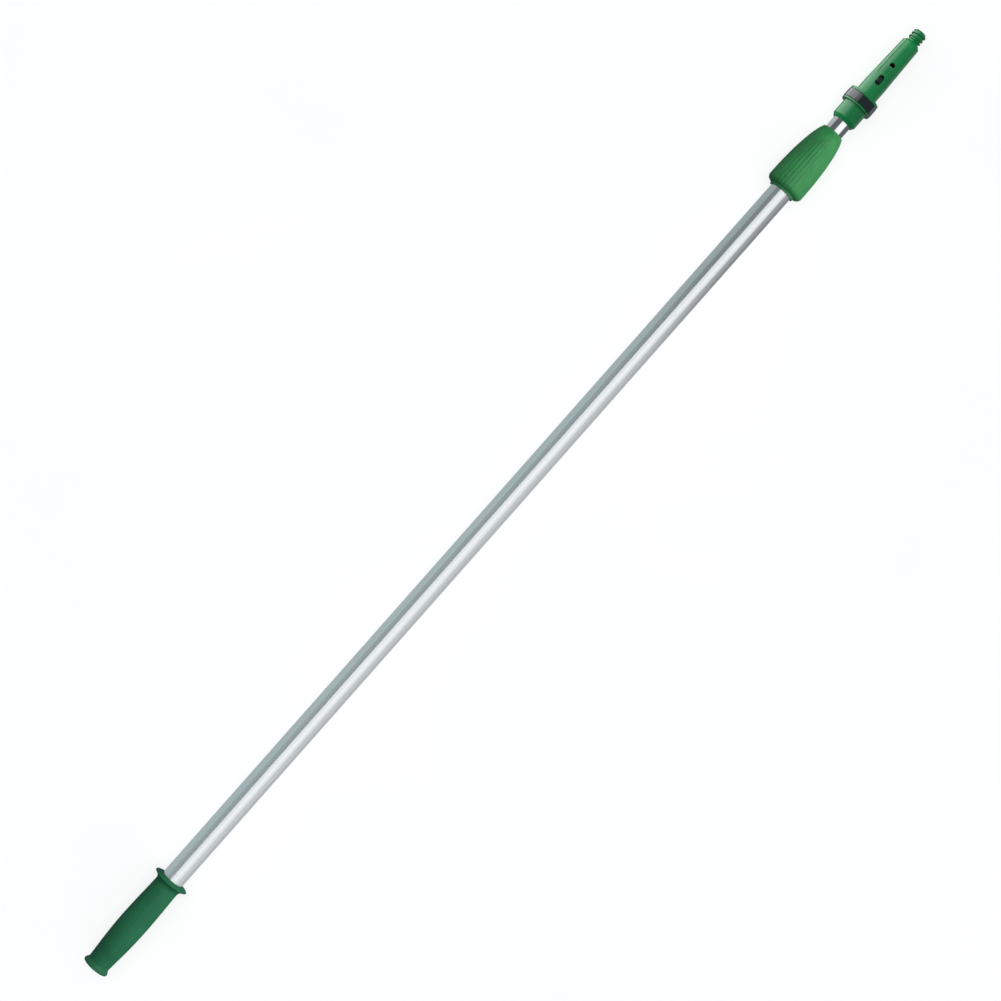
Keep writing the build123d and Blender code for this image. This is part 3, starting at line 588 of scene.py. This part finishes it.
def press_flutes(bm, start, inside):
    """Presses the finger flutes into the nut's outside."""
    pitch = 2 * pi / FLUTES
    for v in bm.verts:
        radius = sqrt(v.co.y ** 2 + v.co.z ** 2)
        along = v.co.x - start
        if radius < inside or along > FLUTE_LENGTH:
            continue
        angle = Vector((v.co.z, v.co.y)).angle_signed(Vector((1, 0)))
        across = abs((angle + pitch / 2) % pitch - pitch / 2) * radius
        if across >= FLUTE_HALF:
            continue
        fade = min(1.0, max(0.0, (FLUTE_LENGTH - along) / FLUTE_FADE))
        pressed = FLUTE_DEPTH * fade * fade * (3 - 2 * fade) * (0.5 + 0.5 * cos(pi * across / FLUTE_HALF))
        v.co.yz = v.co.yz * ((radius - pressed) / radius)


# Inner pole and locking cone


def make_inner_tube():
    return drawn_tube(
        "inner_tube_drawn", "inner_tube", INNER_R, WALL, "inner_pole", FINISHES["inner_aluminium"]
    )


def around(x, angle, way=1):
    """Place on the axis at a station whose local Z points away from the axis, at an angle from +Z."""
    return Matrix.Translation((x, 0, 0)) @ Matrix.Rotation(way * radians(angle), 4, "X")


def screw_station():
    """Station of the two socket screws."""
    start, end = ends("adapter_socket")
    return start + (end - start) / 2


def make_adapter_socket():
    """Sleeve over the end of the inner tube, with a score line and the flange under the lock ring."""
    start, end = ends("adapter_socket")
    seat = INNER_R + SEAT_GAP
    radius = 16.9 * MM
    flange_low = end - 2.1 * MM
    chamfer = start + 4.5 * MM
    score = 0.35 * MM
    hole_r, sink_r, sink_depth = 1.65 * MM, 3.98 * MM, 2.1 * MM
    outline = [
        (start, seat), (end, seat), (end, FLANGE_R), (flange_low, FLANGE_R), (flange_low, radius),
        (chamfer + 0.6 * MM, radius), (chamfer + 0.45 * MM, radius - score),
        (chamfer + 0.15 * MM, radius - score), (chamfer, radius), (start + 0.3 * MM, radius - 3 * MM),
    ]
    bm = turned(outline)
    soften(bm, 0.22 * MM, 3)
    cutters = []
    for angle in SCREW_ANGLES:
        place = around(screw_station(), angle)
        cutters.append(round_bar(hole_r, INNER_R - 1 * MM, radius, place, 32))
        cutters.append(round_bar(hole_r, radius - sink_depth, radius + 1 * MM, place, 48, sink_r))
    return piece("adapter_socket_sleeve", carved(bm, cutters), "inner_pole", "cone_green",
                 FINISHES["cone_green"], "adapter_socket")


def make_socket_screws():
    """Two countersunk screws with cross recesses, on the underside of the socket."""
    radius = 16.8 * MM
    shank_r, head_r = 1.6 * MM, 3.05 * MM
    recess = Matrix.Diagonal((3.6 * MM, 0.75 * MM, 1.6 * MM, 1))
    recess_turn = 20
    whole = bmesh.new()
    for angle in SCREW_ANGLES:
        place = around(screw_station(), angle)
        head = round_bar(shank_r, radius - 2 * MM, radius - 0.15 * MM, place, 48, head_r)
        shank = round_bar(shank_r, 5 * MM, radius - 1.9 * MM, place, 32)
        wings = []
        for turn in (0, 90):
            wing = bmesh.new()
            twist = Matrix.Rotation(radians(turn + recess_turn), 4, "Z")
            spot = place @ Matrix.Translation((0, 0, radius)) @ twist
            bmesh.ops.create_cube(wing, size=1.0, matrix=spot @ recess)
            wings.append(wing)
        made = carved(head, wings, [shank])
        mesh = bpy.data.meshes.new("screw")
        made.to_mesh(mesh)
        made.free()
        whole.from_mesh(mesh)
        bpy.data.meshes.remove(mesh)
    return piece("socket_screws_cross", whole, "inner_pole", "steel", FINISHES["steel"], "socket_screws")


def make_thread():
    """Trapezoidal right-hand thread, spun along a helix, with a neck below it and a chamfered tip."""
    shoulder = thread_tip - 16.7 * MM
    pitch = 5.08 * MM
    crest, root, core = 9.4 * MM, 7.6 * MM, 3 * MM
    steps, turns = 96, 5
    low = shoulder - pitch
    phase = radians(-51.0) - 2 * pi
    half_crest, flank = 0.185 * pitch, 0.14 * pitch
    blunt = 0.25 * MM
    bm = bmesh.new()
    section = [(-pitch / 2, root), (-half_crest - flank, root)]
    section += [(-half_crest - blunt, crest - blunt), (-half_crest + 0.1 * MM, crest), (0, crest)]
    section += [(half_crest - 0.1 * MM, crest), (half_crest + blunt, crest - blunt)]
    section += [(half_crest + flank, root), (pitch / 2, root)]
    way = Vector((0, cos(phase), sin(phase)))
    verts = [bm.verts.new(Vector((low + x, 0, 0)) + way * r) for x, r in section]
    edges = [bm.edges.new(pair) for pair in zip(verts, verts[1:])]
    bmesh.ops.subdivide_edges(bm, edges=edges, cuts=2)
    bmesh.ops.spin(bm, geom=bm.verts[:] + bm.edges[:], axis=(1, 0, 0), dvec=(pitch / steps, 0, 0),
                   angle=2 * pi * turns, steps=steps * turns)
    bmesh.ops.remove_doubles(bm, verts=bm.verts, dist=5e-6)
    neck_r, neck_end, neck_slope = 7.0 * MM, thread_tip - 14.8 * MM, 1.2
    chamfer = 2.6 * MM
    for v in bm.verts:
        radius = sqrt(v.co.y ** 2 + v.co.z ** 2)
        room = neck_r + max(0.0, neck_slope * (v.co.x - neck_end))
        tip = crest - chamfer + 1.0 * (thread_tip - v.co.x) + 0.35 * MM
        v.co.yz = v.co.yz * (max(core, min(radius, room, tip)) / radius)
    for station, way in ((shoulder - 1.5 * MM, -1), (thread_tip, 1)):
        geom = bm.verts[:] + bm.edges[:] + bm.faces[:]
        bmesh.ops.bisect_plane(
            bm, geom=geom, plane_co=(station, 0, 0), plane_no=(way, 0, 0), clear_outer=True
        )
        rim = [e for e in bm.edges if e.is_boundary and all(abs(v.co.x - station) < 1e-6 for v in e.verts)]
        bmesh.ops.holes_fill(bm, edges=rim, sides=0)
    bmesh.ops.recalc_face_normals(bm, faces=bm.faces)
    return bm


def make_adapter_cone():
    """Cone with its core, upper flange, latch slot, cross hole, grooves and screw tip in one moulding."""
    core, base, tip = 15.0 * MM, 14.6 * MM, 12.4 * MM
    seat_end = flange_top + 18 * MM
    cone_end = flange_top + 86.3 * MM
    drop = 3.2 * MM
    shoulder = cone_end + drop
    neck, neck_end = 7.0 * MM, shoulder + 1.0 * MM
    flange_low = ring_high + 0.3 * MM
    rings = 36
    length = cone_end - seat_end
    slope = [(seat_end + length * k / rings, base + (tip - base) * k / rings) for k in range(rings + 1)]
    outline = [
        (cone_base, 0), (cone_base, core), (flange_low, core), (flange_low, FLANGE_R),
        (flange_top, FLANGE_R), (flange_top, base),
    ]
    outline += [(flange_top + 2 * MM * k, base) for k in range(1, 9)]
    outline += slope + [(shoulder, tip - drop), (shoulder, neck), (neck_end, neck), (neck_end, 0)]
    bm = turned(outline, FINE_STEPS, closed=False)
    soften(bm, 0.25 * MM, 3, 35)
    shape = carved(bm, cone_cutters(base, tip, seat_end, cone_end, shoulder), [make_thread()])
    return piece("adapter_cone_moulded", shape, "inner_pole", "cone_green",
                 FINISHES["cone_green"], "adapter_cone")


def cone_cutters(base, tip, seat_end, cone_end, shoulder):
    """Latch chamber, hollow, latch slot, peg slot, cross hole, spring seat and lengthwise grooves."""
    slot_low, slot_high, slot_r = flange_top + 17.4 * MM, flange_top + 31.6 * MM, 3.7 * MM
    slot_floor, slot_top = 7.7 * MM, 16 * MM
    room = 1.6 * MM
    peg = ends("cam_peg")[0] + 1.3 * MM
    upright = Matrix.Translation((flange_top + 48.9 * MM, 0, 0))
    spring_seat = Matrix.Translation((flange_top + 5 * MM, 0, 0))
    along = Matrix.Rotation(pi / 2, 4, "Y")
    cutters = [
        round_bar(10.5 * MM, cone_base - 1 * MM, slot_high + 1.5 * MM, along, 96),
        round_bar(8.5 * MM, flange_top + 43 * MM, flange_top + 78 * MM, along, 96),
        slotted(slot_low, slot_high, slot_r, slot_floor, slot_top),
        slotted(peg - 2.2 * MM - room, peg + room, room, slot_floor, slot_top),
        round_bar(3.5 * MM, -16 * MM, 16 * MM, upright, 64),
        round_bar(3.35 * MM, -11.6 * MM, 0, spring_seat, 48),
    ]
    fall = (base - tip) / (cone_end - seat_end)
    lift = 0.35 * MM
    first_x = flange_top + 32.6 * MM
    first = (first_x, base - fall * (first_x - seat_end) + lift)
    last = (shoulder + 2 * MM, tip - fall * 5.2 * MM + lift)
    for angle in GROOVE_ANGLES:
        turn = Matrix.Rotation(radians(angle), 3, "X")
        low, high = (turn @ Vector((x, 0, r)) for x, r in (first, last))
        cutters.append(capsule(1.0 * MM, low, high))
    return cutters


def slotted(start, end, radius, low, high):
    """Upright block with round ends between two stations and two heights."""
    bm = bmesh.new()
    for x, way in ((start + radius, 1), (end - radius, -1)):
        first = bm.verts.new((x, way * radius, low))
        bmesh.ops.spin(bm, geom=[first], cent=(x, 0, low), axis=(0, 0, 1), angle=pi, steps=24)
    bm.verts.ensure_lookup_table()
    for a, b in zip((24, 49), (25, 0)):
        bm.edges.new((bm.verts[a], bm.verts[b]))
    face = bmesh.ops.contextual_create(bm, geom=bm.edges[:])["faces"]
    side = bmesh.ops.extrude_face_region(bm, geom=face)["geom"]
    push(bm, side, (0, 0, high - low))
    bmesh.ops.recalc_face_normals(bm, faces=bm.faces)
    return bm


# Lock ring and latch


def make_lock_ring():
    """Many-sided ring with softened corners and a helical cam groove in its bore."""
    outer, bore, edge = 21.7 * MM, 15.2 * MM, 0.4 * MM
    outline = [
        (ring_low, bore), (ring_high, bore), (ring_high, outer - edge), (ring_high - edge, outer),
        (ring_low + edge, outer), (ring_low, outer - edge),
    ]
    bm = turned(outline, RING_FLATS, RING_CORNER)
    soften(bm, 0.25 * MM, 3, 12)
    low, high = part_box("cam_peg")
    room = 0.3 * MM
    groove_r, groove_top = 14 * MM, 19 * MM
    travel, turn, spare = 2.2 * MM, 60.0, 6.0
    lead = travel * spare / turn
    steps = 40
    groove = bmesh.new()
    left, right = low[0] - room + lead, high[0] + room + lead
    start = Matrix.Rotation(radians(spare), 3, "X")
    corners = [(left, groove_r), (right, groove_r), (right, groove_top), (left, groove_top)]
    face = groove.faces.new([groove.verts.new(start @ Vector((x, 0, r))) for x, r in corners])
    bmesh.ops.spin(groove, geom=[face], axis=(1, 0, 0), dvec=(-(travel + 2 * lead) / steps, 0, 0),
                   angle=radians(-turn - 2 * spare), steps=steps)
    bmesh.ops.recalc_face_normals(groove, faces=groove.faces)
    return piece("lock_ring_faceted", carved(bm, [groove]), "lock_ring", "black_plastic",
                 FINISHES["black_plastic"], "lock_ring", hard=40)


def make_latch_bar():
    """Latch whose ramped nose shows in the slot; inclined slots run on the two guide pins."""
    start, end = ends("latch_bar")
    nose = flange_top + 21.0 * MM
    ramp = nose + 0.35 * (end - nose)
    bottom, top, nose_top, nose_low = 2.2 * MM, 9.7 * MM, 14.1 * MM, 11.6 * MM
    half = 3.3 * MM
    spare = 1 * MM
    end_r, nose_r = 3.0 * MM, 1.5 * MM
    slot_height, slot_travel, slot_r = 4.6 * MM, 2.2 * MM, 1.15 * MM
    outline = [
        (start, bottom), (end, bottom), (end, nose_low), (ramp, nose_top), (nose, nose_top), (nose, top),
        (start, top),
    ]
    bm = prism(outline, half)
    round_corners(bm, end, end_r)
    round_corners(bm, start, end_r)
    round_corners(bm, nose, nose_r)
    soften(bm, 0.25 * MM, 2, 50)
    cutters = []
    for x in (-2 * MM, 12 * MM):
        first = Vector((flange_top + x, -half - spare, slot_height))
        cutters.append(inclined_slot(first, slot_travel, slot_r, 2 * half + 2 * MM))
    return piece("latch_bar_ramped", carved(bm, cutters), "latch", "black_plastic",
                 FINISHES["black_plastic"], "latch_bar")


def round_corners(bm, x, radius):
    """Rounds the upright edges that stand at a station."""
    edges = [
        e for e in bm.edges
        if all(abs(v.co.x - x) < 1e-6 for v in e.verts) and abs(e.verts[0].co.y - e.verts[1].co.y) < 1e-7
    ]
    bmesh.ops.bevel(bm, geom=edges, offset=radius, segments=8, profile=0.5, affect="EDGES", material=-1)


def inclined_slot(first, travel, radius, width):
    """Slot cutter across the latch: a round bar swept up and along at 45 degrees."""
    bm = bmesh.new()
    last = first + Vector((travel, 0, travel))
    for centre, start in ((last, -45), (first, 135)):
        way = Vector((cos(radians(start)), 0, sin(radians(start))))
        vert = bm.verts.new(centre + way * radius)
        bmesh.ops.spin(bm, geom=[vert], cent=centre, axis=(0, -1, 0), angle=pi, steps=16)
    bm.verts.ensure_lookup_table()
    for a, b in zip((16, 33), (17, 0)):
        bm.edges.new((bm.verts[a], bm.verts[b]))
    face = bmesh.ops.contextual_create(bm, geom=bm.edges[:])["faces"]
    side = bmesh.ops.extrude_face_region(bm, geom=face)["geom"]
    push(bm, side, (0, width, 0))
    bmesh.ops.recalc_face_normals(bm, faces=bm.faces)
    return bm


make_outer_tube()
grip = make_handle_grip()
clamp = [make_clamp_body(), make_clamp_nut()]
inner = make_inner_tube()
adapter = [make_adapter_socket(), make_socket_screws(), make_adapter_cone()]
adapter += [make_lock_ring(), make_latch_bar()]


# Finishes of the CAD nodes


for subpart in frame["record"]["subparts"]:
    shown = frame["nodes"][subpart["node"]]
    for place in shown.material_slots:
        place.material = FINISHES[subpart["material_slot"]]


# Floor, light and camera


def gathered(name, objects):
    """Collection that light linking can name."""
    made = bpy.data.collections.new(name)
    for obj in objects:
        made.objects.link(obj)
    return made


inside = ("cam_peg", "guide_pins", "latch_spring", "core_screws", "tube_insert")
adapter += [frame["nodes"][name] for name in inside]
adapter_lit = gathered("adapter_lit", adapter)
grip_lit = gathered("grip_lit", [grip])
clamp_lit = gathered("clamp_lit", clamp)
inner_lit = gathered("inner_lit", [inner])
tubes_lit = gathered("tubes_lit", [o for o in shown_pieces() if o not in adapter + clamp + [grip, inner]])

bottom = cad_bounds[0][2]
FLOOR_GAP = 0.1 * MM
floor_mesh = bmesh.new()
bmesh.ops.create_grid(floor_mesh, x_segments=1, y_segments=1, size=12.0,
                      matrix=Matrix.Translation((cad_bounds[1][0] / 2, 0, bottom - FLOOR_GAP)))
floor = loose("floor", floor_mesh)
floor_finish, floor_tree, floor_shader, floor_place = material("pale_floor", Roughness=0.9)
paper = grouped(floor_tree, GRAIN, floor_place, Grain=400.0, Cloud=3.0)
pale = blend_colour(
    floor_tree, paper.outputs["Cloudiness"], colour(0.90, 0.90, 0.90), colour(0.92, 0.92, 0.92)
)
join(floor_tree, (pale, floor_shader.inputs["Base Color"]))
floor_shader.inputs["Specular IOR Level"].default_value = 0.0
floor.data.materials.append(floor_finish)
floor.visible_glossy = False
floor.visible_diffuse = False
floor.visible_shadow = False
floor_lit = gathered("floor_lit", [floor])


def softbox(name, low, high, level, receivers, tint, reach, distance, glossy):
    """Long soft light beside the pole that fills the angles between low and high.

    Angles are in degrees from straight above, towards -Y.
    """
    middle, half = radians((low + high) / 2), radians((high - low) / 2)
    way = Vector((0, -sin(middle), cos(middle)))
    lamp = bpy.data.lights.new(name, "AREA")
    lamp.shape = "RECTANGLE"
    start, end = reach
    lamp.size, lamp.size_y = end - start, 2 * distance * tan(half)
    lamp.energy = level * pi * lamp.size * lamp.size_y
    lamp.color = tint
    obj = bpy.data.objects.new(name, lamp)
    bpy.context.scene.collection.objects.link(obj)
    across = Vector((1, 0, 0))
    turn = Matrix((across, way.cross(across), way)).transposed().to_4x4()
    centre = Vector(((start + end) / 2, 0, 0))
    obj.matrix_world = Matrix.Translation(centre + way * distance) @ turn
    obj.visible_camera = False
    obj.visible_glossy = glossy
    obj.light_linking.receiver_collection = receivers


def light_round(name, receivers, *boxes, reach=(-2.75, 4.3), distance=3.4, glossy=True):
    """Several softboxes round the pole, each given as low angle, high angle, level and tint.

    Reach is where they start and end along the pole.
    """
    for number, (low, high, level, tint) in enumerate(boxes, 1):
        softbox(f"{name}_{number}", low, high, level, receivers, tint, reach, distance, glossy)


PLAIN = (1.0, 1.0, 1.0)
WARM = (1.0, 0.99, 0.96)
COOL = (0.82, 0.97, 0.97)
light_round(
    "tube_light", tubes_lit,
    (-16, 14, 0.88, PLAIN), (14, 36, 1.02, WARM), (36, 60, 0.86, PLAIN), (60, 100, 0.25, PLAIN),
    (100, 170, 0.15, PLAIN), (-60, -24, 0.11, COOL), (-100, -60, 0.32, COOL), (-170, -100, 0.34, COOL),
)
light_round(
    "short_light", tubes_lit,
    (60, 100, 0.32, PLAIN), (100, 170, 0.28, PLAIN), (-60, -24, 0.19, COOL), (-100, -60, 0.11, COOL),
    (-170, -100, 0.08, COOL),
    reach=(-2.75, 1.5), distance=3.7,
)
light_round(
    "inner_light", inner_lit,
    (-3, 30, 1.08, PLAIN), (30, 66, 1.02, PLAIN), (-120, -72, 0.40, PLAIN), (-170, -120, 0.42, PLAIN),
)
light_round(
    "grip_light", grip_lit,
    (-8, 15, 1.35, PLAIN), (15, 60, 1.8, PLAIN), (60, 110, 0.85, PLAIN), (110, 160, 0.25, PLAIN),
    (-120, -60, 0.48, COOL),
    reach=(-0.2, 5.0),
)
light_round(
    "clamp_light", clamp_lit,
    (-8, 15, 1.6, PLAIN), (15, 60, 2.05, PLAIN), (60, 110, 0.95, PLAIN), (110, 160, 0.3, PLAIN),
    (-120, -60, 0.48, COOL),
    reach=(0.45, 5.0),
)
light_round(
    "cone_light", adapter_lit,
    (-130, -60, 1.9, PLAIN), (-60, -32, 1.6, PLAIN), (-32, -14, 0.45, PLAIN), (110, 140, 0.35, PLAIN),
    reach=(0.6, 4.3),
)
light_round(
    "cone_fill", adapter_lit,
    (-130, -32, 1.2, PLAIN), (-15, 95, 1.2, PLAIN),
    reach=(0.6, 4.3), distance=3.7, glossy=False,
)

FLOOR_LEVEL = 3.0
SHADOW_SHARE = 0.07       # part of the floor's light that the pole shades
SUNS = [("floor_light", 1 - SHADOW_SHARE, floor_lit), ("floor_shade", SHADOW_SHARE, None)]
for name, share, blockers in SUNS:
    sun = bpy.data.lights.new(name, "SUN")
    sun.energy = FLOOR_LEVEL * share
    sun.angle = radians(60)
    lamp = bpy.data.objects.new(name, sun)
    bpy.context.scene.collection.objects.link(lamp)
    lamp.light_linking.receiver_collection = floor_lit
    if blockers:
        lamp.light_linking.blocker_collection = blockers

world = bpy.data.worlds.new("studio")
bpy.context.scene.world = world
world.use_nodes = True
sky = world.node_tree.nodes["Background"]
seen = node(world.node_tree, "ShaderNodeLightPath")
DIM, WHITE = colour(0.13, 0.14, 0.15), colour(1.0, 1.0, 1.0)
tone = node(world.node_tree, "ShaderNodeMix", {6: DIM, 7: WHITE}, data_type="RGBA")
join(world.node_tree, (seen.outputs["Is Camera Ray"], tone.inputs[0]), (tone.outputs[2], sky.inputs["Color"]))

camera_data = bpy.data.cameras.new("camera")
camera_data.sensor_width = 36.0
camera_data.lens = 84.2
camera = bpy.data.objects.new("camera", camera_data)
bpy.context.scene.collection.objects.link(camera)
camera.location = (0.7718, 0.0067, 2.924)
camera.rotation_euler = (0, 0, radians(-48.51))
bpy.context.scene.camera = camera
bpy.context.scene.view_settings.view_transform = "Standard"
